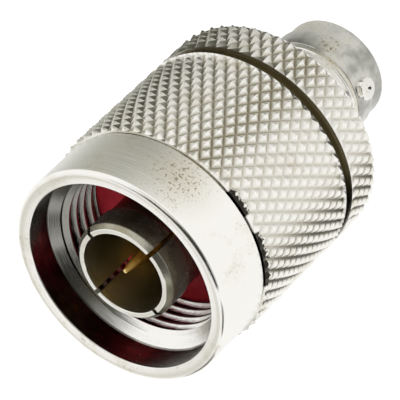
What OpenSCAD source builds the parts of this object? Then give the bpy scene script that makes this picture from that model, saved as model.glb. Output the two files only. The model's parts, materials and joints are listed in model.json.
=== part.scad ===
// N-type plug to bayonet jack adapter, nickel-plated brass.
// +Z is the common axis and points out of the N mouth; z = 0 is the bayonet jack's mating face.

/* [Overall] */
// Length from the bayonet face to the N mouth
overall_l = 33; // [32:0.1:38]

/* [Coupling nut] */
// Length of the coupling nut
nut_l = 22.6; // [22:0.1:24]
// Diameter over the smooth front ring
ring_d = 20; // [19.6:0.1:20.4]
// Length of the smooth front ring
ring_l = 5.9; // [4:0.1:7]
// Diameter over the knurl peaks
knurl_d = 20.8; // [20:0.1:22]
// Depth of the knurl valleys
knurl_h = 0.4; // [0.3:0.05:0.6]
// Knurl teeth around the nut
knurl_teeth = 56; // [40:1:60]
// Axial length of one knurl diamond
knurl_pitch = 1.75; // [1.4:0.05:2.4]
// Distance from the mouth to the turned groove
groove_at = 18; // [17:0.1:18.4]
// Width of the turned groove
groove_w = 1; // [0.6:0.1:1.2]
// Depth of the turned groove below the knurl peaks
groove_h = 1.1; // [0.7:0.05:1.2]
// Diameter of the plain mouth
mouth_d = 17.5; // [17:0.1:17.8]
// Depth of the plain mouth
mouth_l = 2.6; // [2:0.1:3.2]
// Radius of the lip's outer edge
lip_out_r = 0.6; // [0.3:0.05:0.7]
// Radius of the lip's inner edge
lip_in_r = 0.2; // [0.1:0.05:0.3]

/* [Coupling thread] */
// Crest diameter of the internal thread
thread_minor_d = 14.9; // [14.7:0.05:15.1]
// Length of the threaded stretch
thread_l = 5.4; // [4:0.1:5.5]
// Diameter of the chamber behind the thread
chamber_d = 16; // [15.9:0.05:16.2]

/* [Body] */
// Diameter of the body's flange inside the nut
flange_d = 15.84; // [15.7:0.01:15.84]
// Thickness of the body's flange
flange_t = 4.2; // [3.4:0.1:4.6]
// Diameter of the shank that the nut turns on
shank_d = 13; // [12.4:0.1:13.6]
// Radial clearance of the nut on the shank
nut_clear = 0.08; // [0.05:0.01:0.1]
// Distance of the body's rear shoulder inside the nut's rear face
shoulder_in = 0.5; // [0.2:0.1:1]

/* [Bayonet jack] */
// Radius where the barrel meets the shoulder
root_round = 0.8; // [0.3:0.1:1.2]
// Outer diameter of the bayonet barrel
barrel_d = 9.6; // [9.5:0.05:9.7]
// Inner diameter of the bayonet barrel
barrel_bore_d = 8.1; // [8:0.05:8.2]
// Depth of the bayonet barrel's bore
barrel_bore_l = 9; // [8.4:0.1:9.2]
// Length of the plain end of the barrel
barrel_end_l = 2; // [1.6:0.1:2.2]
// Diameter of the land that carries the studs
land_d = 10; // [9.9:0.05:10.2]
// Length of the land that carries the studs
land_l = 2.3; // [2.2:0.1:2.8]
// Diameter of the turned neck behind the land
neck_d = 9.1; // [9:0.05:9.3]
// Length of the turned neck
neck_l = 0.9; // [0.6:0.1:1.2]
// Distance of the studs from the mating face
stud_at = 3.1; // [3:0.05:3.3]
// Diameter of a stud
stud_d = 1.98; // [1.9:0.02:2.04]
// Span over both studs
stud_span = 11.02; // [10.9:0.02:11.1]
// Direction of the first stud round the barrel
stud_turn = 54; // [-90:1:90]

/* [Outer contact] */
// Diameter of the contact's lip at its tips
lip_d = 8.3; // [8.1:0.05:8.4]
// Length of the slope from the band to the tips
lip_l = 0.7; // [0.5:0.05:1]
// Diameter of the raised contact band
band_d = 9.1; // [8.8:0.05:9.2]
// Length of the raised contact band
band_l = 2.3; // [1.8:0.1:3]
// Diameter of the contact's stem
stem_d = 8.7; // [8.5:0.05:8.8]
// Bore of the contact's fingers
finger_bore_d = 7.4; // [7.2:0.05:7.5]
// Distance of the finger tips inside the mouth
finger_in = 0.6; // [0.3:0.1:1]
// Number of fingers
fingers = 4; // [3:1:6]
// Direction of the first slot round the contact
slot_turn = 84; // [0:1:90]
// Width of the slots between the fingers
slot_w = 0.5; // [0.3:0.05:0.7]
// Length of the slots between the fingers
slot_l = 7; // [5:0.1:7.4]

/* [Centre contact] */
// Diameter of the N pin
pin_d = 1.65; // [1.6:0.01:1.68]
// Length of the N pin in front of its shoulder
pin_l = 6.2; // [5:0.1:7]
// Diameter of the pin's blunt tip
pin_tip_d = 0.7; // [0.5:0.05:0.9]
// Length of the pin's taper
pin_taper_l = 2.2; // [1.5:0.1:2.8]
// Distance of the pin's tip behind the finger tips
pin_in = 0.3; // [0:0.05:0.6]
// Diameter of the inner conductor
conductor_d = 3.04; // [2.9:0.02:3.1]
// Length of the conductor between the insulators
collar_l = 2.8; // [1.5:0.1:3.5]
// Diameter of the conductor through the insulators
waist_d = 2.1; // [2:0.05:2.2]
// Bore of the rear socket
socket_bore_d = 1.37; // [1.32:0.01:1.4]
// Depth of the rear socket
socket_l = 5.2; // [4.4:0.1:6]
// Distance of the socket's mouth from the mating face
socket_in = 3.7; // [3.5:0.1:4]
// Width of the socket's slots
socket_slot_w = 0.3; // [0.2:0.05:0.4]
// Length of the socket's slots
socket_slot_l = 3.1; // [2.4:0.1:4]

/* [Insulators] */
// Diameter of both insulators where the shells hold them
insulator_d = 7; // [6.8:0.05:7.1]
// Thickness of the front insulator
front_insulator_t = 3.2; // [2.4:0.1:3.6]
// Diameter of the rear insulator's nose
nose_d = 4.7; // [4.6:0.05:4.8]
// Distance of the nose from the mating face
nose_in = 3.3; // [3.1:0.1:3.5]
// Thickness of the rear insulator's flange
rear_insulator_t = 2.2; // [1.8:0.1:2.6]
// Thickness of the body's web behind that flange
web_t = 1.2; // [1:0.1:1.5]

/* [Gasket and ring] */
// Thickness of the gasket
gasket_t = 1.6; // [1.2:0.1:2]
// Gap between the thread's end and the gasket
gasket_gap = 0.2; // [0.1:0.1:0.6]
// Wire thickness of the retaining ring along the axis
snap_t = 0.8; // [0.6:0.05:1]
// Radial width of the retaining ring
snap_w = 1.3; // [1.1:0.05:1.4]
// Clearance round the retaining ring
snap_clear = 0.06; // [0.04:0.01:0.1]
// Opening of the retaining ring in degrees
snap_gap_a = 24; // [14:1:40]

/* [Hidden] */
$fn = 96;

// Small edges and allowances, in mm
edge = 0.3;
relief = 0.15;
tip_round = 0.1;
over = 1;
end_play = 0.1;
snap_float = 0.1;

// Stations along the axis, all from the mating face at z = 0
nut_z = overall_l - nut_l;
ring_z = overall_l - ring_l;
thread_top_z = overall_l - mouth_l;
thread_z = thread_top_z - thread_l;
gasket_z = thread_z - gasket_gap - gasket_t;
flange_z = gasket_z - flange_t;
shoulder_z = nut_z + shoulder_in;
snap_z = flange_z + (flange_t - snap_t) / 2;
tip_z = overall_l - finger_in;
land_z = barrel_end_l;
neck_z = land_z + land_l;
web_z = barrel_bore_l;
rear_seat_z = web_z + web_t;
collar_z = rear_seat_z + rear_insulator_t;
contact_z = collar_z + collar_l;

// Radii shared by neighbours
thread_r = thread_minor_d / 2;
peak_r = knurl_d / 2;
valley_r = peak_r - knurl_h;
groove_r = peak_r - groove_h;
flange_r = flange_d / 2;
shank_r = shank_d / 2;
press_r = stem_d / 2;
lead_r = mouth_d / 2 - edge;
chamber_r = chamber_d / 2;
snap_r = (flange_r + chamber_r) / 2;

NICKEL = [0.78, 0.77, 0.72];
GOLD = [0.83, 0.62, 0.22];
SILICONE = [0.62, 0.1, 0.12];
PTFE = [0.93, 0.92, 0.88];

// A quarter arc in the r-z plane, from angle a to angle b
function arc(r, z, rad, a, b, n = 8) =
    [for (i = [0:n]) let (t = a + (b - a) * i / n) [r + rad * cos(t), z + rad * sin(t)]];

// Point of the knurl: column c of 2 x teeth, at height z and radius r
function knurl_point(c, z, r) = [r * cos(180 * c / knurl_teeth), r * sin(180 * c / knurl_teeth), z];

// Diamond knurl as a closed bar: every second point is a peak, its neighbours are valleys
module knurl(z0, z1) {
    cols = 2 * knurl_teeth;
    rows = 2 * round((z1 - z0 - 2 * edge) / knurl_pitch);
    step = (z1 - z0 - 2 * edge) / rows;
    heights = concat([z0], [for (k = [0:rows]) z0 + edge + k * step], [z1]);
    last = rows + 2;
    points = [for (k = [0:last]) for (c = [0:cols - 1])
        knurl_point(c, heights[k], (k > 0 && k < last && (c + k) % 2 == 0) ? peak_r : valley_r)];
    function at(k, c) = k * cols + c % cols;
    faces = concat(
        [[for (c = [0:cols - 1]) at(0, c)]],
        [[for (c = [cols - 1:-1:0]) at(last, c)]],
        [for (k = [0:last - 1]) for (c = [0:cols - 1]) for (half = [0, 1])
            (c + k) % 2 == 0
                ? (half == 0 ? [at(k, c), at(k + 1, c), at(k, c + 1)]
                             : [at(k + 1, c), at(k + 1, c + 1), at(k, c + 1)])
                : (half == 0 ? [at(k, c), at(k + 1, c), at(k + 1, c + 1)]
                             : [at(k, c), at(k + 1, c + 1), at(k, c + 1)])]);
    polyhedron(points, faces, convexity = 4);
}

// Everything that is bored out of the nut from the mouth to its rear face
module nut_bore() {
    mouth_r = mouth_d / 2;
    rear_r = shank_r + nut_clear;
    lead_h = lead_r - thread_r;
    lip_r = mouth_r + lip_in_r;
    snap_out = snap_r + snap_w / 2 + snap_float;
    rotate_extrude() polygon(concat(
        [[0, nut_z - over], [rear_r + edge, nut_z - over], [rear_r + edge, nut_z],
         [rear_r, nut_z + edge], [rear_r, flange_z - end_play], [chamber_r, flange_z - end_play],
         [chamber_r, snap_z - snap_clear], [snap_out, snap_z - snap_clear],
         [snap_out, snap_z + snap_t + snap_clear], [chamber_r, snap_z + snap_t + snap_clear],
         [chamber_r, thread_z - edge], [thread_r, thread_z + edge],
         [thread_r, thread_top_z - lead_h], [lead_r, thread_top_z], [mouth_r, thread_top_z]],
        arc(lip_r, overall_l - lip_in_r, lip_in_r, 180, 90, 4),
        [[lip_r, overall_l + over], [0, overall_l + over]]));
}

module coupling_nut() {
    ring_r = ring_d / 2;
    groove_top = overall_l - groove_at;
    groove_z = groove_top - groove_w;
    gap_z = ring_z - relief - edge;
    color(NICKEL) difference() {
        union() {
            rotate_extrude() polygon(concat(
                [[0, nut_z], [groove_r, nut_z], [groove_r, ring_z], [ring_r - edge, ring_z],
                 [ring_r, ring_z + edge]],
                arc(ring_r - lip_out_r, overall_l - lip_out_r, lip_out_r, 0, 90, 6),
                [[0, overall_l]]));
            knurl(nut_z, groove_z);
            knurl(groove_top, gap_z);
        }
        nut_bore();
    }
}

module retaining_ring() {
    color(NICKEL) translate([0, 0, snap_z]) difference() {
        cylinder(r = snap_r + snap_w / 2, h = snap_t);
        translate([0, 0, -over]) cylinder(r = snap_r - snap_w / 2, h = snap_t + 2 * over);
        rotate([0, 0, -snap_gap_a / 2]) rotate_extrude(angle = snap_gap_a)
            translate([over, -over]) square([flange_r + snap_w, snap_t + 2 * over]);
    }
}

module gasket() {
    width = flange_r - press_r;
    color(SILICONE) rotate_extrude() translate([press_r, gasket_z])
        polygon([[0, 0], [width, 0], [width, gasket_t - relief], [width - relief, gasket_t],
                 [relief, gasket_t], [0, gasket_t - relief]]);
}

module body() {
    barrel_r = barrel_d / 2;
    bore_r = barrel_bore_d / 2;
    land_r = land_d / 2;
    neck_r = neck_d / 2;
    root_z = neck_z + neck_l;
    snap_in = snap_r - snap_w / 2 - snap_float;
    color(NICKEL) difference() {
        rotate_extrude() polygon(concat(
            [[bore_r + relief, 0]],
            arc(barrel_r - edge, edge, edge, -90, 0, 4),
            [[barrel_r, land_z], [land_r, land_z + relief], [land_r, neck_z - relief],
             [neck_r, neck_z + relief], [neck_r, root_z - relief], [barrel_r, root_z]],
            arc(barrel_r + root_round, shoulder_z - root_round, root_round, 180, 90, 6),
            [[shank_r - edge, shoulder_z], [shank_r, shoulder_z + edge],
             [shank_r, flange_z], [flange_r, flange_z],
             [flange_r, snap_z - snap_clear], [snap_in, snap_z - snap_clear],
             [snap_in, snap_z + snap_t + snap_clear], [flange_r, snap_z + snap_t + snap_clear],
             [flange_r, gasket_z], [press_r, gasket_z], [press_r, contact_z],
             [insulator_d / 2, contact_z], [insulator_d / 2, rear_seat_z],
             [nose_d / 2, rear_seat_z], [nose_d / 2, web_z], [bore_r, web_z], [bore_r, relief]]));
        stud_holes();
    }
}

// Places its children at both studs, pointing outwards along +X from the axis
module each_stud() {
    for (side = [0, 180])
        rotate([0, 0, stud_turn + side]) translate([0, 0, stud_at]) children();
}

module stud_holes() {
    each_stud() rotate([0, 90, 0]) cylinder(d = stud_d, h = land_d, $fn = 48);
}

module bayonet_studs() {
    root_r = barrel_bore_d / 2 + relief;
    height = stud_span / 2 - root_r;
    color(NICKEL) each_stud() translate([root_r, 0, 0]) rotate([0, 90, 0]) {
        cylinder(d = stud_d, h = height - relief, $fn = 48);
        translate([0, 0, height - relief])
            cylinder(d1 = stud_d, d2 = stud_d - 2 * relief, h = relief, $fn = 48);
    }
}

module outer_contact() {
    bore_r = finger_bore_d / 2;
    seat_r = insulator_d / 2;
    lip_out = lip_d / 2;
    band_r = band_d / 2;
    band_top = tip_z - lip_l;
    band_z = band_top - band_l;
    bead_z = contact_z + front_insulator_t;
    ledge_r = seat_r - relief;
    color(NICKEL) difference() {
        rotate_extrude() polygon([
            [seat_r, contact_z], [press_r, contact_z], [press_r, band_z - edge], [band_r, band_z],
            [band_r, band_top], [lip_out, tip_z - tip_round], [lip_out - tip_round, tip_z],
            [bore_r + tip_round, tip_z],
            [bore_r, tip_z - tip_round], [bore_r, bead_z + 2 * edge], [ledge_r, bead_z + edge],
            [ledge_r, bead_z], [seat_r, bead_z]]);
        for (i = [0:fingers - 1]) rotate([0, 0, 360 * i / fingers + slot_turn])
            translate([bore_r - over, -slot_w / 2, tip_z - slot_l])
                cube([band_r - bore_r + 2 * over, slot_w, slot_l + over]);
    }
}

module front_insulator() {
    color(PTFE) translate([0, 0, contact_z]) difference() {
        cylinder(d = insulator_d, h = front_insulator_t);
        translate([0, 0, -over]) cylinder(d = waist_d, h = front_insulator_t + 2 * over);
    }
}

module centre_contact() {
    pin_r = pin_d / 2;
    waist_r = waist_d / 2;
    conductor_r = conductor_d / 2;
    bead_top = contact_z + front_insulator_t;
    pin_top = tip_z - pin_in;
    pin_z = pin_top - pin_l;
    color(GOLD) difference() {
        rotate_extrude() polygon([
            [0, socket_in], [waist_r - tip_round, socket_in], [waist_r, socket_in + tip_round],
            [waist_r, collar_z], [conductor_r, collar_z], [conductor_r, contact_z],
            [waist_r, contact_z], [waist_r, bead_top], [conductor_r, bead_top],
            [conductor_r, pin_z - edge], [conductor_r - edge, pin_z], [pin_r, pin_z],
            [pin_r, pin_top - pin_taper_l], [pin_tip_d / 2, pin_top - relief],
            [pin_tip_d / 2 - relief, pin_top], [0, pin_top]]);
        translate([0, 0, socket_in - over])
            cylinder(d = socket_bore_d, h = socket_l + over, $fn = 48);
        translate([-socket_slot_w / 2, -waist_d, socket_in - over])
            cube([socket_slot_w, 2 * waist_d, socket_slot_l + over]);
    }
}

module rear_insulator() {
    color(PTFE) difference() {
        rotate_extrude() polygon([
            [0, nose_in], [nose_d / 2 - relief, nose_in], [nose_d / 2, nose_in + relief],
            [nose_d / 2, rear_seat_z], [insulator_d / 2, rear_seat_z],
            [insulator_d / 2, collar_z], [0, collar_z]]);
        translate([0, 0, nose_in - over])
            cylinder(d = waist_d, h = collar_z - nose_in + 2 * over, $fn = 48);
    }
}

coupling_nut();
retaining_ring();
gasket();
body();
bayonet_studs();
outer_contact();
front_insulator();
centre_contact();
rear_insulator();
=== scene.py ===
import json
import math

import bpy
from mathutils import Matrix, Vector

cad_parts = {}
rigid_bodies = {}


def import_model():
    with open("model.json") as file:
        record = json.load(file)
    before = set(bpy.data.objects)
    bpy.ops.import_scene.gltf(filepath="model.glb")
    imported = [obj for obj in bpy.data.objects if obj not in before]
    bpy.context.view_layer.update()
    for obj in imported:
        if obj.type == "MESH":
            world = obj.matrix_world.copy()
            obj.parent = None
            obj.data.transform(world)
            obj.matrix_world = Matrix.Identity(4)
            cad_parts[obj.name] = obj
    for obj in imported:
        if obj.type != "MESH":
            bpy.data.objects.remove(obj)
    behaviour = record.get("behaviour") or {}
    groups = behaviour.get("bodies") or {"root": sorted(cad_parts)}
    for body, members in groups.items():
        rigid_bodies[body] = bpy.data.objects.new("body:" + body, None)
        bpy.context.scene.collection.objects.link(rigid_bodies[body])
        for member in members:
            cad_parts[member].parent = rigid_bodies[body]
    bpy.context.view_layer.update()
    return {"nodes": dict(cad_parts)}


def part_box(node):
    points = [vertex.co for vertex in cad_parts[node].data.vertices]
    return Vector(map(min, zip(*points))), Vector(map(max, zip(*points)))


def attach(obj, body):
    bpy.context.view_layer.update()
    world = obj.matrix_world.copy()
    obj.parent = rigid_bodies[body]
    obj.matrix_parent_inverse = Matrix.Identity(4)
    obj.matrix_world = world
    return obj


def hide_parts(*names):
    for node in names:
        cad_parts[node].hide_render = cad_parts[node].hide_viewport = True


# Coaxial adapter: a plug with a knurled coupling nut in front, and a bayonet jack behind.
# Lengths are in millimetres unless a line says otherwise, and the jack's mating face is at height 0.
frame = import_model()
mm = 0.001
weld = 1e-7                           # metres: points closer than this are one point
sliver = 2e-6                         # metres: edges shorter than this are cleared away
fullTurn = 2 * math.pi
print("frame loaded:", ", ".join(sorted(frame["nodes"])))


# Selection and mesh helpers

def deselectAll():
    if bpy.context.object and bpy.context.object.mode != "OBJECT":
        bpy.ops.object.mode_set(mode="OBJECT")
    bpy.ops.object.select_all(action="DESELECT")


def activate(piece):
    deselectAll()
    piece.select_set(True)
    bpy.context.view_layer.objects.active = piece


def editMode(kind="VERT"):
    bpy.ops.object.mode_set(mode="EDIT")
    bpy.ops.mesh.select_mode(type=kind)


def objectMode():
    bpy.ops.object.mode_set(mode="OBJECT")


def editWhole(piece, kind="VERT"):
    activate(piece)
    editMode(kind)
    bpy.ops.mesh.select_all(action="SELECT")


def selectWhere(piece, kind, test):   # leaves the piece in edit mode
    activate(piece)
    editMode(kind)
    bpy.ops.mesh.select_all(action="DESELECT")
    objectMode()
    parts = {"VERT": piece.data.vertices, "EDGE": piece.data.edges, "FACE": piece.data.polygons}
    for part in parts[kind]:
        part.select = test(part)
    editMode(kind)


def mergeClose():
    bpy.ops.mesh.select_all(action="SELECT")
    bpy.ops.mesh.remove_doubles(threshold=weld)


def faceOutwards():
    bpy.ops.mesh.select_all(action="SELECT")
    bpy.ops.mesh.normals_make_consistent(inside=False)


def turnAbout(axis, degrees):         # with no window this operator turns the other way
    bpy.ops.transform.rotate(value=-math.radians(degrees), orient_axis=axis, center_override=(0, 0, 0))


def rename(piece, name):
    piece.name = name
    piece.data.name = name


def applyModifier(piece, kind, **values):
    activate(piece)
    modifier = piece.modifiers.new(kind.title(), kind)
    for name, value in values.items():
        setattr(modifier, name, value)
    bpy.ops.object.modifier_apply(modifier=modifier.name)


def cutAway(piece, tool):
    applyModifier(piece, "BOOLEAN", operation="DIFFERENCE", object=tool, solver="EXACT")
    bpy.data.objects.remove(tool)


def joinPieces(pieces, name):
    activate(pieces[0])
    for piece in pieces:
        piece.select_set(True)
    bpy.ops.object.join()
    joined = bpy.context.object
    rename(joined, name)
    return joined


def tidyMesh(piece):
    editWhole(piece)
    bpy.ops.mesh.remove_doubles(threshold=sliver)
    bpy.ops.mesh.dissolve_degenerate(threshold=sliver)
    bpy.ops.mesh.delete_loose(use_verts=True, use_edges=True, use_faces=False)
    bpy.ops.mesh.select_all(action="SELECT")
    bpy.ops.mesh.fill_holes(sides=8)
    faceOutwards()
    objectMode()


def smooth(piece, angle=35):
    activate(piece)
    bpy.ops.object.shade_smooth_by_angle(angle=math.radians(angle))


def arc(r, z, radius, start, end, count=6):         # start and end are in degrees
    angles = [math.radians(start + (end - start) * i / count) for i in range(count + 1)]
    return [(r + radius * math.cos(a), z + radius * math.sin(a)) for a in angles]


def rounded(r, z, radius, start, end, count=6):     # a quarter arc in the corner at r, z
    first, last = math.radians(start), math.radians(end)
    outward = round(math.cos(first) + math.cos(last))
    upward = round(math.sin(first) + math.sin(last))
    return arc(r - radius * outward, z - radius * upward, radius, start, end, count)


def outline(name, points, closed=True):              # points are radius and height, in the x-z plane
    deselectAll()
    bpy.ops.mesh.primitive_plane_add(size=mm, location=(0, 0, 0))
    piece = bpy.context.object
    rename(piece, name)
    editWhole(piece)
    bpy.ops.mesh.merge(type="CENTER")
    bpy.ops.transform.translate(value=(points[0][0] * mm, 0, points[0][1] * mm))
    path = points + points[:1] if closed else points
    for before, after in zip(path, path[1:]):
        step = ((after[0] - before[0]) * mm, 0, (after[1] - before[1]) * mm)
        bpy.ops.mesh.extrude_region_move(TRANSFORM_OT_translate={"value": step})
    mergeClose()
    objectMode()
    return piece


def lathe(name, points, steps=144, closed=True):
    piece = outline(name, points, closed)
    editWhole(piece)
    bpy.ops.mesh.spin(steps=steps, angle=fullTurn, center=(0, 0, 0), axis=(0, 0, 1))
    mergeClose()
    faceOutwards()
    objectMode()
    return piece


def block(name, size, height, turn=0):
    deselectAll()
    centre = (0, 0, height * mm)
    bpy.ops.mesh.primitive_cube_add(size=mm, location=centre)
    piece = bpy.context.object
    rename(piece, name)
    editWhole(piece)
    bpy.ops.transform.resize(value=size, center_override=centre)
    turnAbout("Z", turn)
    objectMode()
    bpy.ops.object.transform_apply(location=True, rotation=True, scale=True)
    return piece


def low(node):
    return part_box(node)[0][2] / mm


def top(node):
    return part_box(node)[1][2] / mm


# Shader helpers

class Signal:
    def __init__(self, finish, socket):
        self.finish = finish
        self.socket = socket

    def __add__(self, other):
        return self.finish.maths("ADD", self, other)

    def __radd__(self, other):
        return self.finish.maths("ADD", other, self)

    def __sub__(self, other):
        return self.finish.maths("SUBTRACT", self, other)

    def __rsub__(self, other):
        return self.finish.maths("SUBTRACT", other, self)

    def __mul__(self, other):
        return self.finish.maths("MULTIPLY", self, other)

    def __rmul__(self, other):
        return self.finish.maths("MULTIPLY", other, self)


class Finish:
    def __init__(self, name, tree=None):
        if tree is None:
            self.material = bpy.data.materials.new(name)
            self.material.use_nodes = True
            tree = self.material.node_tree
        self.tree = tree
        self.tree.nodes.clear()

    def node(self, kind, settings, inputs, output=0):
        made = self.tree.nodes.new(kind)
        for name, value in settings.items():
            setattr(made, name, value)
        for key, value in inputs.items():
            self.feed(made.inputs[key], value)
        return Signal(self, made.outputs[output]) if made.outputs else None

    def feed(self, socket, value):
        if isinstance(value, Signal):
            self.tree.links.new(value.socket, socket)
        else:
            socket.default_value = value

    def maths(self, operation, first, second=0.0):
        return self.node("ShaderNodeMath", {"operation": operation}, {0: first, 1: second})

    def place(self):
        where = self.node("ShaderNodeTexCoord", {}, {}, "Object")
        return self.node("ShaderNodeVectorMath", {"operation": "SCALE"}, {0: where, "Scale": 1 / mm})

    def split(self, vector):
        return [self.node("ShaderNodeSeparateXYZ", {}, {0: vector}, i) for i in range(3)]

    def fromAxis(self, x, y):
        return self.maths("SQRT", x * x + y * y)

    def noise(self, vector, values):  # values are scale, detail and roughness
        scale, detail, roughness = values
        inputs = {"Vector": vector, "Scale": scale, "Detail": detail, "Roughness": roughness}
        return self.node("ShaderNodeTexNoise", {}, inputs)

    def turnedLines(self, radius, z, lines):
        scale = lines["squeeze"]
        across = self.node("ShaderNodeCombineXYZ", {}, {0: radius * scale, 1: z * scale})
        return self.noise(across, lines["noise"])

    def swing(self, noise, amount):   # noise lies round one half
        return (noise - 0.5) * amount

    def band(self, value, start, end, first=0.0, last=1.0):
        values = {0: value, 1: start, 2: end, 3: first, 4: last}
        return self.node("ShaderNodeMapRange", {"interpolation_type": "SMOOTHSTEP"}, values)

    def fall(self, value, start, end):
        return self.band(value, start, end, 1.0, 0.0)

    def mix(self, factor, first, second):
        values = {0: factor, 6: first, 7: second}
        return self.node("ShaderNodeMix", {"data_type": "RGBA"}, values, 2)

    def bump(self, height, strength, depth):
        values = {"Strength": strength, "Distance": depth * mm, "Height": height}
        return self.node("ShaderNodeBump", {}, values)

    def surface(self, **values):
        shader = self.node("ShaderNodeBsdfPrincipled", {}, values)
        self.node("ShaderNodeOutputMaterial", {}, {"Surface": shader})
        return self.material


def rgb(red, green, blue):
    return (red, green, blue, 1.0)


def grey(level):
    return rgb(level, level, level)


# Nickel plate: turning lines, faint stains and specks. A piece's plan may add painted shades, which are
# stretches of the plate darkened as painted shade, a patch, which is one stained spot, and dirt with
# painted shade in the knurl's valleys, with painted shadow there and behind the ring. A pair of numbers
# is where a soft edge starts and ends.
nickelLook = {
    "plate": rgb(0.92, 0.905, 0.86),
    "stain": rgb(0.76, 0.72, 0.61),
    "speck": rgb(0.36, 0.31, 0.21),
    # dirt with painted shade, for the knurl's valleys
    "dirtAndShade": rgb(0.30, 0.26, 0.16),
    # near black: painted shadow in the knurl's valleys and behind the ring
    "pitch": rgb(0.035, 0.03, 0.024),
    "lines": {"squeeze": 24, "noise": (1.0, 2.0, 0.6)},
    "lineStrength": 0.6,
    "lineDepth": 0.02,
    "cloud": (0.32, 3.0, 0.6),
    "stained": (0.5, 0.72),
    "stainShare": 0.55,
    "fine": (4.5, 2.0, 0.6),
    "speckled": (0.48, 0.62),
    "specks": (0.62, 0.72),
    "speckShare": 0.7,
    "roughness": 0.10,
    "cloudRough": 0.05,
    "stainRough": 0.08,
    "speckRough": 0.2,
    "dirtRough": 0.25,
    "patchStain": 0.85,
    "patchSpecks": 1.6,
    "patchCrowding": 0.09,
    "shadePatches": (0.35, 0.65),
    "softAcross": 0.05,               # how softly a shade ends across the axis, and along it
    "softAlong": 0.03,
}


def patchMask(finish, at, patch):
    ends = {0: at["place"], 1: patch["centre"]}
    gap = finish.node("ShaderNodeVectorMath", {"operation": "DISTANCE"}, ends, 1)
    return finish.fall(gap, 0.0, patch["reach"])


def shadeMasks(finish, at, shade):    # the whole shade, and what shows of it
    across, along = nickelLook["softAcross"], nickelLook["softAlong"]
    whole = finish.fall(at["radius"], shade["radius"], shade["radius"] + across)
    whole = whole * finish.fall(at["z"], shade["top"] - along, shade["top"])
    whole = whole * finish.band(at["z"], shade["bottom"], shade["bottom"] + along)
    shown = whole
    if "core" in shade:
        core = shade["core"]
        shown = shown * finish.band(at["radius"], core, core + across, shade["inner"], 1.0)
    if "patchy" in shade:
        patchy = finish.band(at["cloud"], *nickelLook["shadePatches"]) * shade["patchy"]
        shown = shown * (1.0 - patchy)
    if "growsAlongX" in shade:
        shown = shown * finish.band(at["x"], *shade["growsAlongX"])
    return whole, shown


def valleyDirtAndShadeMasks(finish, at, dirtAndShade):     # dirt and painted shade in the knurl's valleys, and near-black painted shadow there where x is lowest
    worn = finish.maths("ABSOLUTE", at["x"] - dirtAndShade["worn"])
    depth = finish.fall(at["radius"] + finish.swing(at["fine"], dirtAndShade["uneven"]), *dirtAndShade["valley"])
    depth = depth * finish.band(worn, *dirtAndShade["wornReach"], dirtAndShade["rubbed"], 1.0)
    depth = depth * finish.band(at["x"], *dirtAndShade["fading"], 1.0, dirtAndShade["faded"])
    knurled = finish.band(at["radius"], *dirtAndShade["inside"]) * finish.fall(at["z"], *dirtAndShade["top"])
    knurled = knurled * finish.band(at["z"], *dirtAndShade["bottom"])
    pit = finish.fall(at["radius"], *dirtAndShade["pit"])
    # painted shadow, near black, in the valleys on the low-x side
    paintedValleyShadow = finish.fall(at["radius"], *dirtAndShade["shadowValley"]) * finish.fall(at["x"], *dirtAndShade["shadowSide"])
    return finish.maths("MAXIMUM", depth, pit) * knurled, paintedValleyShadow * knurled * dirtAndShade["shadowShare"]


def shadowStretchMasks(finish, at, dirtAndShade):   # ragged stretches of painted shadow behind the ring
    angle = finish.maths("ARCTAN2", at["y"], at["x"]) * (360 / fullTurn)
    ragged = finish.band(at["z"] + finish.swing(at["fine"], dirtAndShade["ragged"]), *dirtAndShade["edge"])
    behind = ragged * finish.fall(at["z"], *dirtAndShade["end"]) * finish.band(at["radius"], *dirtAndShade["inside"])
    behind = behind * finish.fall(at["radius"], *dirtAndShade["crown"])
    soft = dirtAndShade["softAngle"]
    return [behind * finish.band(angle, start - soft, start) * finish.fall(angle, end, end + soft)
            for start, end in dirtAndShade["shadowStretches"]]


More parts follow.
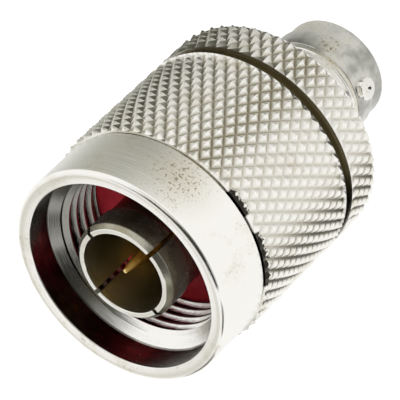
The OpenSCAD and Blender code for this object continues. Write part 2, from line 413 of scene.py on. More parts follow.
def nickel(name, lines=1.0, stains=1.0, paintedShades=(), dirtAndShade=None, patch=None):
    look = nickelLook
    finish = Finish(name)
    place = finish.place()
    x, y, z = finish.split(place)
    # at holds what the masks need to know of each spot
    at = {"place": place, "x": x, "y": y, "z": z, "radius": finish.fromAxis(x, y),
          "cloud": finish.noise(place, look["cloud"]), "fine": finish.noise(place, look["fine"])}
    stain = finish.band(at["cloud"], *look["stained"]) * (look["stainShare"] * stains)
    speckled = finish.band(at["cloud"], *look["speckled"])
    if patch:
        patched = patchMask(finish, at, patch)
        stain = finish.maths("MAXIMUM", stain, patched * look["patchStain"])
        speckled = finish.maths("MAXIMUM", speckled, patched * look["patchSpecks"])
        at["fine"] = at["fine"] + patched * look["patchCrowding"]
    speck = finish.band(at["fine"], *look["specks"]) * speckled * stains
    colour = finish.mix(stain, look["plate"], look["stain"])
    rough = look["roughness"] + finish.swing(at["cloud"], look["cloudRough"])
    rough = rough + stain * look["stainRough"] + speck * look["speckRough"]
    # painted shade: each shade darkens a stretch of the plate towards its tone
    for shade in paintedShades:
        whole, shown = shadeMasks(finish, at, shade)
        colour = finish.mix(shown, colour, shade["tone"])
        if "rough" in shade:
            rough = rough + whole * shade["rough"]
    specked = finish.maths("MINIMUM", speck * look["speckShare"], 1.0)
    colour = finish.mix(specked, colour, look["speck"])
    if dirtAndShade:
        valleyDirtAndShade, paintedValleyShadow = valleyDirtAndShadeMasks(finish, at, dirtAndShade)
        # dirt with painted shade in the knurl's valleys, then the near-black painted shadow
        colour = finish.mix(valleyDirtAndShade * dirtAndShade["depth"], colour, look["dirtAndShade"])
        colour = finish.mix(paintedValleyShadow, colour, look["pitch"])
        rough = rough + valleyDirtAndShade * look["dirtRough"]
        # painted shadow in stretches behind the ring
        for shadowStretch in shadowStretchMasks(finish, at, dirtAndShade):
            colour = finish.mix(shadowStretch, colour, look["pitch"])
    turned = finish.turnedLines(at["radius"], z, look["lines"])
    normal = finish.bump(turned, look["lineStrength"] * lines, look["lineDepth"])
    return finish.surface(**{"Base Color": colour, "Metallic": 1.0, "Roughness": rough,
                             "Normal": normal})


goldLook = {"plate": rgb(1.0, 0.74, 0.30), "worn": rgb(0.88, 0.56, 0.18), "cloud": (1.3, 3.0, 0.6),
            "wear": (0.45, 0.7), "roughness": 0.14, "uneven": 0.12,
            "lines": {"squeeze": 6, "noise": (2.0, 3.0, 0.6)}, "lineStrength": 0.3, "lineDepth": 0.003}


def gold(name):
    look = goldLook
    finish = Finish(name)
    place = finish.place()
    x, y, z = finish.split(place)
    turned = finish.turnedLines(finish.fromAxis(x, y), z, look["lines"])
    cloud = finish.noise(place, look["cloud"])
    colour = finish.mix(finish.band(cloud, *look["wear"]), look["plate"], look["worn"])
    rough = look["roughness"] + finish.swing(turned, look["uneven"])
    normal = finish.bump(turned, look["lineStrength"], look["lineDepth"])
    return finish.surface(**{"Base Color": colour, "Metallic": 1.0, "Roughness": rough,
                             "Normal": normal})


siliconeLook = {"fresh": rgb(0.70, 0.045, 0.065), "dull": rgb(0.56, 0.032, 0.048),
                "cloud": (0.6, 3.0, 0.6), "dulled": (0.35, 0.7), "grain": (9.0, 3.0, 0.6),
                "grainStrength": 0.25, "grainDepth": 0.01, "roughness": 0.36, "uneven": 0.25,
                "ior": 1.42}


def silicone(name):
    look = siliconeLook
    finish = Finish(name)
    place = finish.place()
    cloud = finish.noise(place, look["cloud"])
    grain = finish.noise(place, look["grain"])
    colour = finish.mix(finish.band(cloud, *look["dulled"]), look["fresh"], look["dull"])
    rough = look["roughness"] + finish.swing(grain, look["uneven"])
    normal = finish.bump(grain, look["grainStrength"], look["grainDepth"])
    return finish.surface(**{"Base Color": colour, "Roughness": rough, "Normal": normal,
                             "IOR": look["ior"]})


ptfeLook = {"clean": rgb(0.86, 0.85, 0.81), "shaded": rgb(0.74, 0.72, 0.66), "cloud": (0.7, 2.0, 0.5),
            "dulled": (0.4, 0.7), "roughness": 0.45, "uneven": 0.2,
            "lines": {"squeeze": 4, "noise": (2.5, 3.0, 0.6)}, "lineStrength": 0.3, "lineDepth": 0.008,
            "milky": 0.1, "milkyDepth": 0.4}


def ptfe(name):
    look = ptfeLook
    finish = Finish(name)
    place = finish.place()
    x, y, z = finish.split(place)
    turned = finish.turnedLines(finish.fromAxis(x, y), z, look["lines"])
    cloud = finish.noise(place, look["cloud"])
    colour = finish.mix(finish.band(cloud, *look["dulled"]), look["clean"], look["shaded"])
    rough = look["roughness"] + finish.swing(turned, look["uneven"])
    normal = finish.bump(turned, look["lineStrength"], look["lineDepth"])
    return finish.surface(**{"Base Color": colour, "Roughness": rough, "Normal": normal,
                             "Subsurface Weight": look["milky"],
                             "Subsurface Radius": (look["milkyDepth"] * mm,) * 3})


# Coupling nut: a turned core with its thread, and a diamond-knurled sleeve cut by the grooves
nutRear = low("coupling_nut")
nutPlan = {
    "rear": nutRear,
    "mouth": top("coupling_nut"),
    "ringRadius": 10.0,
    "ringLength": 5.9,
    "ringChamfer": 0.12,
    "lipRound": 0.4,
    "lipCrest": 9.35,                 # radius of the lip's highest circle
    "crestHalf": 0.03,
    "crestDrop": 0.01,
    "lipDip": 0.1,                    # how far the lip falls towards the mouth
    "lipEdge": 0.08,
    "mouthRadius": 8.75,
    "mouthDepth": 2.6,
    "leadRadius": 8.72,
    "leadDepth": 1.05,
    "crestRadius": 7.45,
    "threadLength": 5.4,
    "reliefSlope": 0.3,
    "chamberRadius": 8.0,
    "flangeSeat": 18.9,
    "shankHole": 6.58,
    "rearChamfer": 0.3,
    "grooveRadius": 9.3,
    "grooveFromMouth": 18.0,
    "grooveWidth": 1.0,
    "gapWidth": 0.1,                  # the undercut behind the ring
    "gapRadius": 9.7,
    "smoothAngle": 28,
    "thread": {"start": 23.2, "pitch": 1.058, "rootRadius": 7.94, "rootHalf": 0.17, "baseRadius": 7.33,
               "baseHalf": 0.5, "turns": 7, "steps": 144},
    "knurl": {"teeth": 56, "pitch": 1.77, "start": 8.9, "valleyRadius": 10.0,
              "steps": [(0.015, 0.0), (0.40, 0.345)],      # width and rise of the valley and the flanks
              "tip": 0.015,
              "edges": (10.1, 10.25, 10.3, 10.1)},         # radius of the sleeve at each cut, rear first
    "plate": {
        "paintedShades": [                   # painted shade in the mouth, on the thread's crests and roots, and on its darker side
            {"radius": 8.8, "bottom": 30.3, "top": 32.85, "patchy": 0.3, "tone": rgb(0.22, 0.20, 0.185)},
            {"radius": 7.47, "bottom": 24.9, "top": 29.25, "tone": rgb(0.16, 0.15, 0.13)},
            {"radius": 8.05, "bottom": 24.9, "top": 29.25, "core": 7.8, "inner": 0.0,
             "tone": rgb(0.12, 0.115, 0.10)},
            {"radius": 8.74, "bottom": 24.9, "top": 30.42, "growsAlongX": (-1.0, 4.5), "rough": 0.05,
             "tone": rgb(0.30, 0.295, 0.265)},
        ],
        "dirtAndShade": {
            "inside": (9.0, 9.1),     # radii and heights between which the knurl is darkened by dirt and painted shade
            "bottom": (nutRear + 0.05, nutRear + 0.15),
            "top": (26.7, 26.8),
            "valley": (9.98, 10.24),
            "pit": (9.8, 9.95),
            "uneven": 0.12,
            "depth": 0.95,
            "worn": -3.6,             # the x about which the darkening is weakest, and below, where it weakens along x
            "wornReach": (1.5, 6.0),
            "rubbed": 0.3,
            "fading": (1.0, 7.0),
            "faded": 0.55,
            # near-black painted shadow in the valleys on the low-x side
            "shadowValley": (10.02, 10.16),
            "shadowSide": (-9.0, -6.5),
            "shadowShare": 0.85,
            "edge": (26.4, 26.5),     # the stretches of painted shadow behind the ring, and their angles
            "end": (27.15, 27.2),
            "crown": (10.24, 10.3),
            "ragged": 1.5,
            "shadowStretches": [(-110, -97), (-149, -120)],
            "softAngle": 1,
        },
        "patch": {"centre": (2.4, -9.7, 29.4), "reach": 4.6},
    },
}


def nutStations():                    # heights where the knurl is cut
    size = nutPlan
    ringBack = size["mouth"] - size["ringLength"]
    grooveTop = size["mouth"] - size["grooveFromMouth"]
    return {"rear": size["rear"], "grooveLow": grooveTop - size["grooveWidth"], "grooveTop": grooveTop,
            "gap": ringBack - size["gapWidth"], "ringBack": ringBack}


def nutCore():
    size, station = nutPlan, nutStations()
    rear, mouth, ringBack = size["rear"], size["mouth"], station["ringBack"]
    ring, chamfer, hole = size["ringRadius"], size["ringChamfer"], size["shankHole"]
    crest, chamber, slope = size["crestRadius"], size["chamberRadius"], size["reliefSlope"]
    lipTop, half, inner = size["lipCrest"], size["crestHalf"], size["lipEdge"]
    groove, leadTop = size["grooveRadius"], mouth - size["mouthDepth"]
    threadEnd = leadTop - size["threadLength"]
    points = [(size["gapRadius"], station["gap"]), (size["gapRadius"], ringBack),
              (ring - chamfer, ringBack), (ring, ringBack + chamfer)]
    points += rounded(ring, mouth, size["lipRound"], 0, 90, count=10)
    points += [(lipTop + half, mouth), (lipTop - half, mouth - size["crestDrop"])]
    points += arc(size["mouthRadius"] + inner, mouth - size["lipDip"] - inner, inner, 100, 180, count=5)
    points += [(size["mouthRadius"], leadTop), (size["leadRadius"], leadTop),
               (crest, leadTop - size["leadDepth"]), (crest, threadEnd + slope),
               (chamber, threadEnd - slope), (chamber, size["flangeSeat"]), (hole, size["flangeSeat"]),
               (hole, rear + size["rearChamfer"]), (hole + size["rearChamfer"], rear), (groove, rear)]
    core = lathe("nutCore", points, closed=False)
    floor = [(groove, station["grooveLow"]), (groove, station["grooveTop"])]
    return joinPieces([core, lathe("grooveFloor", floor, closed=False)], "nutCore")


def threadCutter():
    thread = nutPlan["thread"]
    start, root, base = thread["start"], thread["rootRadius"], thread["baseRadius"]
    points = [(base, start - thread["baseHalf"]), (root, start - thread["rootHalf"]),
              (root, start + thread["rootHalf"]), (base, start + thread["baseHalf"])]
    cutter = outline("threadCutter", points)
    applyModifier(cutter, "SCREW", axis="Z", angle=fullTurn, screw_offset=thread["pitch"] * mm,
                  iterations=thread["turns"], steps=thread["steps"], render_steps=thread["steps"],
                  use_merge_vertices=True, merge_threshold=weld)
    editWhole(cutter)
    bpy.ops.mesh.fill_holes(sides=len(points))
    faceOutwards()
    objectMode()
    return cutter


def liesAt(piece, edge, *heights):
    ends = [piece.data.vertices[index].co.z for index in edge.vertices]
    return any(all(abs(z - height * mm) < weld for z in ends) for height in heights)


def knurledSleeve():
    knurl = nutPlan["knurl"]
    radius, pitch, start = knurl["valleyRadius"], knurl["pitch"], knurl["start"]
    rows = math.ceil((nutStations()["ringBack"] - start) / pitch)
    deselectAll()
    bpy.ops.mesh.primitive_circle_add(vertices=knurl["teeth"], radius=radius * mm, location=(0, 0, 0))
    sleeve = bpy.context.object
    rename(sleeve, "knurledSleeve")
    editWhole(sleeve)
    bpy.ops.transform.translate(value=(0, 0, start * mm))
    for row in range(rows):
        bpy.ops.mesh.extrude_region_move(TRANSFORM_OT_translate={"value": (0, 0, pitch * mm)})
    faceOutwards()
    objectMode()
    corners = len(sleeve.data.vertices)
    editWhole(sleeve)                 # poked squares, less their own edges, make the diamonds
    bpy.ops.mesh.poke(offset=radius * (1 - math.cos(math.pi / knurl["teeth"])) * mm)
    objectMode()
    selectWhere(sleeve, "EDGE", lambda edge: max(edge.vertices) < corners
                and not liesAt(sleeve, edge, start, start + rows * pitch))
    bpy.ops.mesh.dissolve_edges(use_verts=False)
    bpy.ops.mesh.select_mode(type="FACE")
    bpy.ops.mesh.select_all(action="SELECT")
    for width, rise in knurl["steps"]:
        bpy.ops.mesh.inset(use_individual=True, thickness=width * mm, depth=rise * mm)
    bpy.ops.mesh.poke(offset=knurl["tip"] * mm)      # the worn crown
    objectMode()
    return sleeve


def openEdges(piece):
    activate(piece)
    editMode("EDGE")
    bpy.ops.mesh.select_all(action="DESELECT")
    bpy.ops.mesh.select_non_manifold(extend=False, use_wire=False, use_boundary=True,
                                     use_multi_face=False, use_non_contiguous=False, use_verts=False)
    objectMode()
    return {edge.index for edge in piece.data.edges if edge.select}


def cutAcross(piece, height):
    editWhole(piece, "FACE")
    bpy.ops.mesh.bisect(plane_co=(0, 0, height * mm), plane_no=(0, 0, 1), threshold=weld)
    objectMode()


def deleteBetween(piece, start, end):
    selectWhere(piece, "FACE", lambda face: start * mm < face.center.z < end * mm)
    bpy.ops.mesh.delete(type="FACE")
    objectMode()


def rollEdge(piece, height, radius):  # the teeth at a cut are rolled down to one even radius
    selectWhere(piece, "VERT", lambda vertex: abs(vertex.co.z - height * mm) < weld)
    centre = (0, 0, height * mm)
    bpy.ops.transform.tosphere(value=1.0, center_override=centre)
    objectMode()
    even = max(vertex.co.xy.length for vertex in piece.data.vertices if vertex.select)
    scale = radius * mm / even
    editMode()
    bpy.ops.transform.resize(value=(scale, scale, 1), center_override=centre)
    objectMode()


def bridgeAt(piece, height):
    boundary = openEdges(piece)
    selectWhere(piece, "EDGE", lambda edge: edge.index in boundary and liesAt(piece, edge, height))
    bpy.ops.mesh.bridge_edge_loops()
    objectMode()


def makeCouplingNut():
    station = nutStations()
    sleeve = knurledSleeve()
    cuts = [station["rear"], station["grooveLow"], station["grooveTop"], station["gap"]]
    for cut in cuts:
        cutAcross(sleeve, cut)
    deleteBetween(sleeve, 0, station["rear"])
    deleteBetween(sleeve, station["grooveLow"], station["grooveTop"])
    deleteBetween(sleeve, station["gap"], nutPlan["mouth"])
    for cut, edge in zip(cuts, nutPlan["knurl"]["edges"]):
        rollEdge(sleeve, cut, edge)
    print("knurled sleeve:", len(sleeve.data.polygons), "faces")
    piece = joinPieces([nutCore(), sleeve], "couplingNut")
    for cut in cuts:
        bridgeAt(piece, cut)
    editWhole(piece)
    mergeClose()
    faceOutwards()
    objectMode()
    print("nut closed, open edges left:", len(openEdges(piece)))
    cutAway(piece, threadCutter())
    tidyMesh(piece)
    smooth(piece, nutPlan["smoothAngle"])
    print("coupling nut:", len(piece.data.polygons), "faces, open edges:", len(openEdges(piece)))
    return piece


couplingNut = makeCouplingNut()
couplingNut.data.materials.append(nickel("nutNickel", **nutPlan["plate"]))
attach(couplingNut, "nut")
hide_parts("coupling_nut")


# Body: shank, flange and bayonet barrel turned in one
landEnd = 4.3
bodyPlan = {
    "barrelRadius": 4.8,
    "barrelRound": 0.3,
    "boreRadius": 4.05,
    "boreRound": 0.15,
    "boreDepth": 9.0,
    "landStart": 2.0,
    "landEnd": landEnd,
    "landRadius": 5.0,
    "landRound": 0.15,
    "neckRadius": 4.55,
    "neckLength": 0.9,
    "neckRound": 0.2,
    "shoulder": nutRear + 0.5,
    "rootRound": 0.8,
    "shankRadius": 6.5,
    "shankRound": 0.3,
    "flangeRadius": 7.92,
    "flangeBottom": 19.0,
    "flangeTop": low("gasket"),
    "ringFloor": 7.2,
    "ringPlay": 0.06,
    "seatRadius": 4.35,
    "seatBottom": low("outer_contact"),
    "insulatorRadius": 3.5,
    "rearSeat": 10.2,
    "webHole": 2.35,
    "plate": {
        "lines": 0.8,
        "stains": 1.5,
        "paintedShades": [                   # painted shade on the barrel's end, as far as the land
            {"radius": 5.3, "bottom": -1.0, "top": landEnd, "patchy": 0.8, "rough": 0.05,
             "tone": rgb(0.40, 0.40, 0.37)},
        ],
        "patch": {"centre": (1.5, -4.7, 3.2), "reach": 2.0},
    },
}


def makeBody():
    size = bodyPlan
    barrel, bore = size["barrelRadius"], size["boreRadius"]
    land, neck = size["landRadius"], size["neckRadius"]
    landStart, neckStart = size["landStart"], size["landEnd"]
    neckEnd = neckStart + size["neckLength"]
    flange, shank, seat = size["flangeRadius"], size["shankRadius"], size["seatRadius"]
    insulator, web, shoulder = size["insulatorRadius"], size["webHole"], size["shoulder"]
    ringLow = low("retaining_ring") - size["ringPlay"]
    ringHigh = top("retaining_ring") + size["ringPlay"]
    points = rounded(bore, 0, size["boreRound"], 180, 270, count=3)
    points += rounded(barrel, 0, size["barrelRound"], -90, 0)
    points += [(barrel, landStart)]
    points += rounded(land, landStart, size["landRound"], -90, 0, count=4)
    points += rounded(land, neckStart, size["landRound"], 0, 90, count=4)
    points += rounded(neck, neckStart, size["neckRound"], 270, 180, count=4)
    points += rounded(neck, neckEnd, size["neckRound"], 180, 90, count=4)
    points += [(barrel, neckEnd)]
    points += rounded(barrel, shoulder, size["rootRound"], 180, 90, count=8)
    points += rounded(shank, shoulder, size["shankRound"], -90, 0, count=3)
    points += [(shank, size["flangeBottom"]), (flange, size["flangeBottom"]), (flange, ringLow),
               (size["ringFloor"], ringLow), (size["ringFloor"], ringHigh), (flange, ringHigh),
               (flange, size["flangeTop"]), (seat, size["flangeTop"]), (seat, size["seatBottom"]),
               (insulator, size["seatBottom"]), (insulator, size["rearSeat"]), (web, size["rearSeat"]),
               (web, size["boreDepth"]), (bore, size["boreDepth"])]
    piece = lathe("adapterBody", points)
    smooth(piece)
    return piece


body = makeBody()
body.data.materials.append(nickel("bodyNickel", **bodyPlan["plate"]))
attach(body, "adapter_body")
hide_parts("body")
print("body:", len(body.data.polygons), "faces")


# Bayonet studs, pressed into the barrel wall
studPlan = {
    "radius": 0.99,
    "height": 3.1,
    "span": 11.02,
    "turn": 54,
    "inner": 4.2,
    "sides": 48,
    "round": 0.18,
    "roundSteps": 4,
    "flat": 0.42,
    "dimple": 0.2,
    "levelFace": 0.99,                # a face whose normal points up at least this much is the end
    "plate": {
        "lines": 0.3,
        "stains": 0.3,
        "paintedShades": [                   # painted shade at the foot of each stud, where it meets the barrel
            {"radius": 4.95, "bottom": 0.0, "top": 8.0, "rough": 0.1, "tone": rgb(0.10, 0.09, 0.07)},
        ],
    },
}


def isStudEnd(face):
    return face.normal.z > studPlan["levelFace"]


def makeStud():
    size = studPlan
    length = size["span"] / 2 - size["inner"]
    deselectAll()
    bpy.ops.mesh.primitive_cylinder_add(vertices=size["sides"], radius=size["radius"] * mm,
                                        depth=length * mm, location=(0, 0, 0))
    stud = bpy.context.object
    selectWhere(stud, "FACE", isStudEnd)
    bpy.ops.mesh.bevel(offset=size["round"] * mm, segments=size["roundSteps"], affect="EDGES")
    objectMode()
    selectWhere(stud, "FACE", isStudEnd)
    bpy.ops.mesh.inset(thickness=size["flat"] * mm, depth=0)
    bpy.ops.mesh.inset(thickness=size["dimple"] * mm, depth=-size["dimple"] * mm)
    bpy.ops.mesh.select_all(action="SELECT")
    bpy.ops.transform.translate(value=(0, 0, (size["inner"] + length / 2) * mm))
    turnAbout("Y", 90)
    turnAbout("Z", size["turn"])
    bpy.ops.transform.translate(value=(0, 0, size["height"] * mm))
    objectMode()
    return stud


def makeStuds():
    stud = makeStud()
    activate(stud)
    bpy.ops.object.duplicate()
    opposite = bpy.context.object
    editWhole(opposite)
    turnAbout("Z", 180)
    objectMode()
    piece = joinPieces([stud, opposite], "bayonetStuds")
    smooth(piece)
    return piece


bayonetStuds = makeStuds()
bayonetStuds.data.materials.append(nickel("studNickel", **studPlan["plate"]))
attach(bayonetStuds, "adapter_body")
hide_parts("bayonet_studs")
print("bayonet studs:", len(bayonetStuds.data.polygons), "faces")


# Gasket: a flat ring with rounded upper edges
gasketPlan = {"inner": 4.35, "outer": 7.92, "bottom": low("gasket"), "top": top("gasket"), "round": 0.18}


def makeGasket():
    size = gasketPlan
    inner, outer = size["inner"], size["outer"]
    points = rounded(inner, size["top"], size["round"], 180, 90, count=4)
    points += rounded(outer, size["top"], size["round"], 90, 0, count=4)
    points += [(outer, size["bottom"]), (inner, size["bottom"])]
    piece = lathe("redGasket", points)
    smooth(piece)
    return piece


gasket = makeGasket()
gasket.data.materials.append(silicone("redSilicone"))
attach(gasket, "adapter_body")
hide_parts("gasket")
print("gasket:", len(gasket.data.polygons), "faces")


# Outer contact: a slotted tube with a raised band behind its lip
contactTip, lipLength, bandInset = top("outer_contact"), 0.4, 0.05
slopeStart = contactTip - lipLength - bandInset
contactPlan = {
    "bottom": low("outer_contact"),
    "tip": contactTip,
    "lipRadius": 4.22,
    "lipLength": lipLength,
    "lipEdge": 0.06,
    "bandRadius": 4.55,
    "bandLength": 2.3,
    "bandSweep": 0.3,                 # radius of the band's rear slope
    "bandRound": 0.12,
    "bandInset": bandInset,
    "stemRadius": 4.35,
    "boreRadius": 3.77,
    "seatRadius": 3.5,
    "undercut": 0.15,
    "ledge": 3.2,
    "ledgeSlope": 0.3,
    "slotWidth": 0.4,
    "slotLength": 7.0,
    "slotTurn": 84,
    "slotReach": 12,
    "slotExtra": 1.0,                 # how far the cutter runs past the tip
    "plate": {
        "stains": 0.8,
        "paintedShades": [                   # painted shade on the slope of the lip, the stem behind it, and the bore
            {"radius": 5.0, "bottom": slopeStart, "top": contactTip - 0.02, "core": 4.0,
             "inner": 0.5, "patchy": 0.3, "rough": 0.16, "tone": rgb(0.36, 0.34, 0.24)},
            {"radius": 5.0, "bottom": 0.0, "top": slopeStart, "core": 4.0,
             "inner": 0.5, "patchy": 0.12, "rough": 0.16, "tone": rgb(0.12, 0.088, 0.05)},
            {"radius": 3.85, "bottom": 0.0, "top": contactTip - 0.04, "patchy": 0.35, "rough": 0.05,
             "tone": rgb(0.52, 0.46, 0.30)},
        ],
    },
}


def makeOuterContact():
    size = contactPlan
    tip, bottom, edge, inset = size["tip"], size["bottom"], size["lipEdge"], size["bandInset"]
    bore, seat = size["boreRadius"], size["seatRadius"]
    stem, band = size["stemRadius"], size["bandRadius"]
    sweep, bandRound = size["bandSweep"], size["bandRound"]
    bandTop = tip - size["lipLength"]
    bandBottom = bandTop - size["bandLength"]
    ledge, slope = bottom + size["ledge"], size["ledgeSlope"]
    recess = seat - size["undercut"]
    points = [(seat, bottom), (stem, bottom), (stem, bandBottom - sweep)]
    points += arc(band - sweep, bandBottom + inset, sweep, -50, 0, count=4)
    points += arc(band - bandRound, bandTop - inset, bandRound, 0, 40, count=3)
    points += arc(size["lipRadius"] - edge, tip - edge, edge, 25, 90, count=4)
    points += rounded(bore, tip, edge, 90, 180, count=4)
    points += [(bore, ledge + 2 * slope), (recess, ledge + slope), (recess, ledge), (seat, ledge)]
    piece = lathe("outerContact", points)
    slotSize = (size["slotReach"], size["slotWidth"], size["slotLength"] + size["slotExtra"])
    middle = tip - (size["slotLength"] - size["slotExtra"]) / 2
    for turn in (size["slotTurn"], size["slotTurn"] + 90):
        cutAway(piece, block("slotCutter", slotSize, middle, turn))
    tidyMesh(piece)
    smooth(piece)
    return piece


outerContact = makeOuterContact()
outerContact.data.materials.append(nickel("contactNickel", **contactPlan["plate"]))
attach(outerContact, "adapter_body")
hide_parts("outer_contact")
print("outer contact:", len(outerContact.data.polygons), "faces")


# Centre contact: the gold pin, its conductor and the rear socket
pinPlan = {
    "tip": top("centre_contact"),
    "socketMouth": low("centre_contact"),
    "radius": 0.825,
    "length": 6.2,
    "taper": 3.2,
    "tipRadius": 0.2,
    "tipRound": 0.12,
    "conductor": 1.52,
    "shoulderRound": 0.4,
    "shoulderStep": 0.1,
    "waist": 1.05,
    "collarBottom": 12.4,
    "collarTop": 15.2,
    "beadTop": 18.4,
    "socketRound": 0.1,
    "socketBore": 0.685,
    "socketDepth": 5.2,
    "socketCone": 0.3,
    "socketSlot": 0.3,
    "socketSlotLength": 3.1,
    "slotReach": 4,
    "slotExtra": 1.0,                 # how far the cutter runs past the socket's mouth
    "steps": 64,
}


def makeCentreContact():
    size = pinPlan
    tip, mouth, tipRound = size["tip"], size["socketMouth"], size["tipRound"]
    conductor, waist, bore = size["conductor"], size["waist"], size["socketBore"]
    shoulder = tip - size["length"]
    boreEnd = mouth + size["socketDepth"]
    points = [(0.0, tip)]
    points += arc(size["tipRadius"] - tipRound, tip - tipRound, tipRound, 90, 20, count=4)
    points += [(size["radius"], tip - size["taper"]), (size["radius"], shoulder + size["shoulderStep"])]
    points += rounded(conductor, shoulder, size["shoulderRound"], 90, 0)
    points += [(conductor, size["beadTop"]), (waist, size["beadTop"]), (waist, size["collarTop"]),
               (conductor, size["collarTop"]), (conductor, size["collarBottom"]),
               (waist, size["collarBottom"])]
    points += rounded(waist, mouth, size["socketRound"], 0, -90, count=3)
    points += [(bore, mouth), (bore, boreEnd), (0.0, boreEnd + size["socketCone"])]
    piece = lathe("centreContact", points, steps=size["steps"], closed=False)
    slotSize = (size["socketSlot"], size["slotReach"], size["socketSlotLength"] + size["slotExtra"])
    middle = mouth + (size["socketSlotLength"] - size["slotExtra"]) / 2
    cutAway(piece, block("socketSlot", slotSize, middle))
    tidyMesh(piece)
    smooth(piece)
    return piece


centreContact = makeCentreContact()
centreContact.data.materials.append(gold("goldPlate"))
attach(centreContact, "adapter_body")
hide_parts("centre_contact")
print("centre contact:", len(centreContact.data.polygons), "faces")


# The inner pieces keep their CAD shape and take a finish
innerFinishes = {
    "retaining_ring": nickel("springNickel", stains=0.3),
    "front_insulator": ptfe("frontPtfe"),
    "rear_insulator": ptfe("rearPtfe"),
}
for node, finish in innerFinishes.items():
    for slot in frame["nodes"][node].material_slots:
        slot.material = finish
print("inner pieces finished")


# Camera: above the mouth, rolled so the axis runs down to the left
cameraPlan = {"distance": 300.0, "elevation": 40.32, "roll": -134.15, "lens": 329.5,
              "centre": (0.0, 0.0, 20.7), "aim": (-0.07, 0.25, 21.0), "clip": (0.01, 20)}


def makeCamera():
    elevation = math.radians(cameraPlan["elevation"])
    direction = Vector((0, -math.cos(elevation), math.sin(elevation)))
    place = Vector(cameraPlan["centre"]) + direction * cameraPlan["distance"]
    data = bpy.data.cameras.new("viewCamera")
    data.lens = cameraPlan["lens"]
    data.clip_start, data.clip_end = cameraPlan["clip"]      # metres
    camera = bpy.data.objects.new("viewCamera", data)
    bpy.context.scene.collection.objects.link(camera)
    look = Vector(cameraPlan["aim"]) - place
    turn = look.to_track_quat("-Z", "Y").to_matrix().to_4x4()
    roll = Matrix.Rotation(math.radians(cameraPlan["roll"]), 4, "Z")
    camera.matrix_world = Matrix.Translation(place * mm) @ turn @ roll
    bpy.context.scene.camera = camera


makeCamera()


# Stage: pale floor, white surroundings, soft lamps, and cards that only the metal mirrors
stagePlan = {
    "middle": cameraPlan["centre"],
    "surround": 0.5,
    "floor": {"size": 6000, "drop": 0.05, "paper": 0.9, "thinPaper": 0.35, "glow": 0.88},
    "lamps": [
        {"name": "keyLamp", "azimuth": -35, "elevation": 45, "distance": 500,
         "size": 300, "power": 1.6},
        {"name": "fillLamp", "azimuth": 150, "elevation": 45, "distance": 600,
         "size": 400, "power": 1.2},
    ],
    "cards": [
        {"name": "ceilingFlag", "azimuth": -90, "elevation": 82, "distance": 400,
         "size": (360, 360), "tone": rgb(0.09, 0.09, 0.07)},
        {"name": "cameraFlag", "azimuth": -128, "elevation": 43, "distance": 400,
         "size": (430, 330), "tone": rgb(0.03, 0.03, 0.03)},
        {"name": "sideFlag", "azimuth": 170, "elevation": 27, "distance": 400,
         "size": (180, 150), "tone": rgb(0.06, 0.06, 0.05)},
        {"name": "lowCard", "azimuth": -90, "elevation": 15, "distance": 420,
         "size": (760, 130), "tone": rgb(0.42, 0.42, 0.36)},
        {"name": "leftFlag", "azimuth": 128, "elevation": 15, "distance": 400,
         "size": (170, 210), "tone": rgb(0.2, 0.2, 0.17)},
        {"name": "topCard", "azimuth": 100, "elevation": 72, "distance": 380,
         "size": (100, 100), "tone": rgb(1.0, 1.0, 0.96)},
        {"name": "backCard", "azimuth": 90, "elevation": 40, "distance": 450,
         "size": (220, 160), "tone": rgb(0.70, 0.69, 0.64)},
    ],
    "floorCard": {"size": 500, "drop": 0.02, "bright": rgb(1.0, 1.0, 0.99),
                  "dim": rgb(0.42, 0.42, 0.37), "dimSpot": (46, -8), "dimReach": (12, 68),
                  "shadow": rgb(0.10, 0.10, 0.08), "shadowSpot": (20, -4), "shadowReach": (6, 18)},
}


def seenDirectly(finish):
    path = "ShaderNodeLightPath"
    camera = finish.node(path, {}, {}, "Is Camera Ray")
    glossy = finish.node(path, {}, {}, "Is Glossy Ray")
    through = finish.node(path, {}, {}, "Is Transmission Ray")
    return finish.maths("MAXIMUM", finish.maths("MAXIMUM", camera, glossy), through)


def makeWorld():
    world = bpy.data.worlds.new("studio")
    world.use_nodes = True
    bpy.context.scene.world = world
    finish = Finish("studio", world.node_tree)
    white = finish.node("ShaderNodeBackground", {}, {"Color": grey(1), "Strength": 1.0})
    fill = finish.node("ShaderNodeBackground", {}, {"Color": grey(1), "Strength": stagePlan["surround"]})
    mixed = finish.node("ShaderNodeMixShader", {}, {0: seenDirectly(finish), 1: fill, 2: white})
    finish.node("ShaderNodeOutputWorld", {}, {"Surface": mixed})


def makeFloor():
    plan = stagePlan["floor"]
    deselectAll()
    bpy.ops.mesh.primitive_plane_add(size=plan["size"] * mm, location=(0, 0, -plan["drop"] * mm))
    floor = bpy.context.object
    rename(floor, "floor")
    finish = Finish("palePaper")      # glows and takes shadows where it is seen, and is clear from below
    paint = finish.node("ShaderNodeBsdfDiffuse", {}, {"Color": grey(plan["paper"])})
    thin = finish.node("ShaderNodeBsdfDiffuse", {}, {"Color": grey(plan["thinPaper"])})
    glow = finish.node("ShaderNodeEmission", {}, {"Color": grey(1), "Strength": plan["glow"]})
    seen = finish.node("ShaderNodeAddShader", {}, {0: thin, 1: glow})
    upper = finish.node("ShaderNodeMixShader", {}, {0: seenDirectly(finish), 1: paint, 2: seen})
    clear = finish.node("ShaderNodeBsdfTransparent", {}, {})
    under = finish.node("ShaderNodeNewGeometry", {}, {}, "Backfacing")
    both = finish.node("ShaderNodeMixShader", {}, {0: under, 1: upper, 2: clear})
    finish.node("ShaderNodeOutputMaterial", {}, {"Surface": both})
    floor.data.materials.append(finish.material)


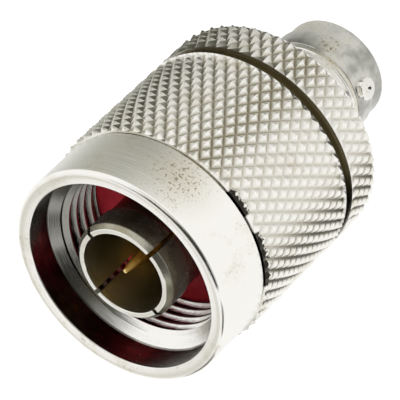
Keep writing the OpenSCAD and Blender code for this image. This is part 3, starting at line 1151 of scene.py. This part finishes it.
def aimed(plan):
    azimuth, elevation = math.radians(plan["azimuth"]), math.radians(plan["elevation"])
    level = math.cos(elevation)
    away = Vector((level * math.cos(azimuth), level * math.sin(azimuth), math.sin(elevation)))
    place = (Vector(stagePlan["middle"]) + away * plan["distance"]) * mm
    return Matrix.Translation(place) @ away.to_track_quat("Z", "Y").to_matrix().to_4x4()


def makeLamp(plan):
    data = bpy.data.lights.new(plan["name"], "AREA")
    data.shape = "DISK"
    data.size = plan["size"] * mm
    data.energy = plan["power"]
    lamp = bpy.data.objects.new(plan["name"], data)
    bpy.context.scene.collection.objects.link(lamp)
    lamp.matrix_world = aimed(plan)
    lamp.visible_glossy = False


def mirroredOnly(card, finish, colour):
    card.visible_camera = False
    card.visible_diffuse = False
    card.visible_shadow = False
    glow = finish.node("ShaderNodeEmission", {}, {"Color": colour})
    finish.node("ShaderNodeOutputMaterial", {}, {"Surface": glow})
    card.data.materials.append(finish.material)


def makeCard(plan):
    deselectAll()
    bpy.ops.mesh.primitive_plane_add(size=mm, location=(0, 0, 0))
    card = bpy.context.object
    rename(card, plan["name"])
    editWhole(card)
    bpy.ops.transform.resize(value=(*plan["size"], 1), center_override=(0, 0, 0))
    objectMode()
    card.matrix_world = aimed(plan)
    mirroredOnly(card, Finish(plan["name"]), plan["tone"])


def makeFloorCard():                  # what the metal mirrors of the floor, darker beside the part
    plan = stagePlan["floorCard"]
    deselectAll()
    bpy.ops.mesh.primitive_plane_add(size=plan["size"] * mm, location=(0, 0, -plan["drop"] * mm))
    card = bpy.context.object
    rename(card, "floorCard")
    finish = Finish("floorCard")
    x, y = finish.split(finish.place())[:2]
    (dimX, dimY), (shadowX, shadowY) = plan["dimSpot"], plan["shadowSpot"]
    pale = finish.band(finish.fromAxis(x - dimX, y - dimY), *plan["dimReach"])
    lit = finish.band(finish.fromAxis(x - shadowX, y - shadowY), *plan["shadowReach"])
    colour = finish.mix(pale, plan["dim"], plan["bright"])
    mirroredOnly(card, finish, finish.mix(lit, plan["shadow"], colour))


makeWorld()
makeFloor()
for plan in stagePlan["lamps"]:
    makeLamp(plan)
for plan in stagePlan["cards"]:
    makeCard(plan)
makeFloorCard()
print("stage set:", len(stagePlan["lamps"]), "lamps,", len(stagePlan["cards"]) + 1, "cards")

scene = bpy.context.scene
scene.view_settings.view_transform = "Standard"
